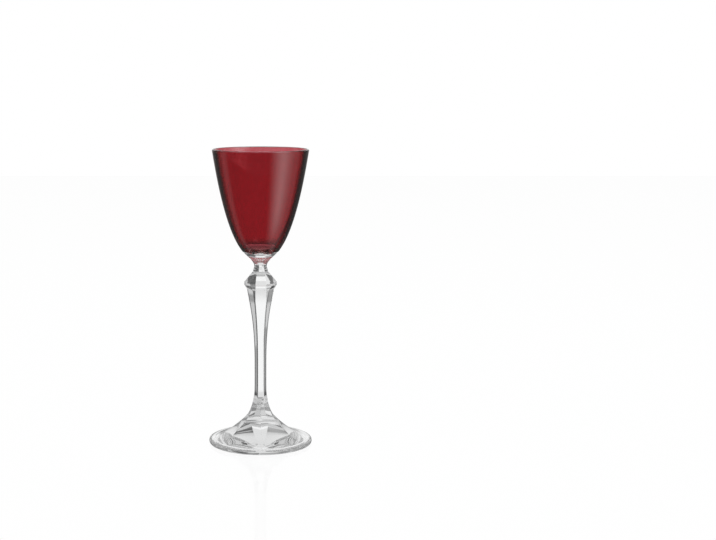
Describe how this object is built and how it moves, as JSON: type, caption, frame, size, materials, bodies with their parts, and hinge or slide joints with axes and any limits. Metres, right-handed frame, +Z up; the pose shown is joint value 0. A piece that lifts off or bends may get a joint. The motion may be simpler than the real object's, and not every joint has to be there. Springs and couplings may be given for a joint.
{
  "type": "cordial glass",
  "caption": "Tall stemmed cordial glass: ruby-coloured tapered bowl on a clear faceted stem with a knop, and a round foot with star ridges.",
  "frame": {"origin": "on the glass's axis, at the plane that the foot's resting ring stands on", "axes": "+Z up along the axis to the rim; -Y is the side seen in the picture"},
  "size_m": [0.0582, 0.0582, 0.166],
  "materials": {
    "clear_glass": "fire-polished clear glass, smooth and colourless",
    "ruby_glass": "thin deep ruby colour layer on the outside of the bowl, glossy and see-through"
  },
  "bodies": {
    "root": {"foot": "clear_glass", "stem": "clear_glass", "neck": "clear_glass", "bowl": "clear_glass", "ruby_coat": "ruby_glass"}
  },
  "joints": []
}
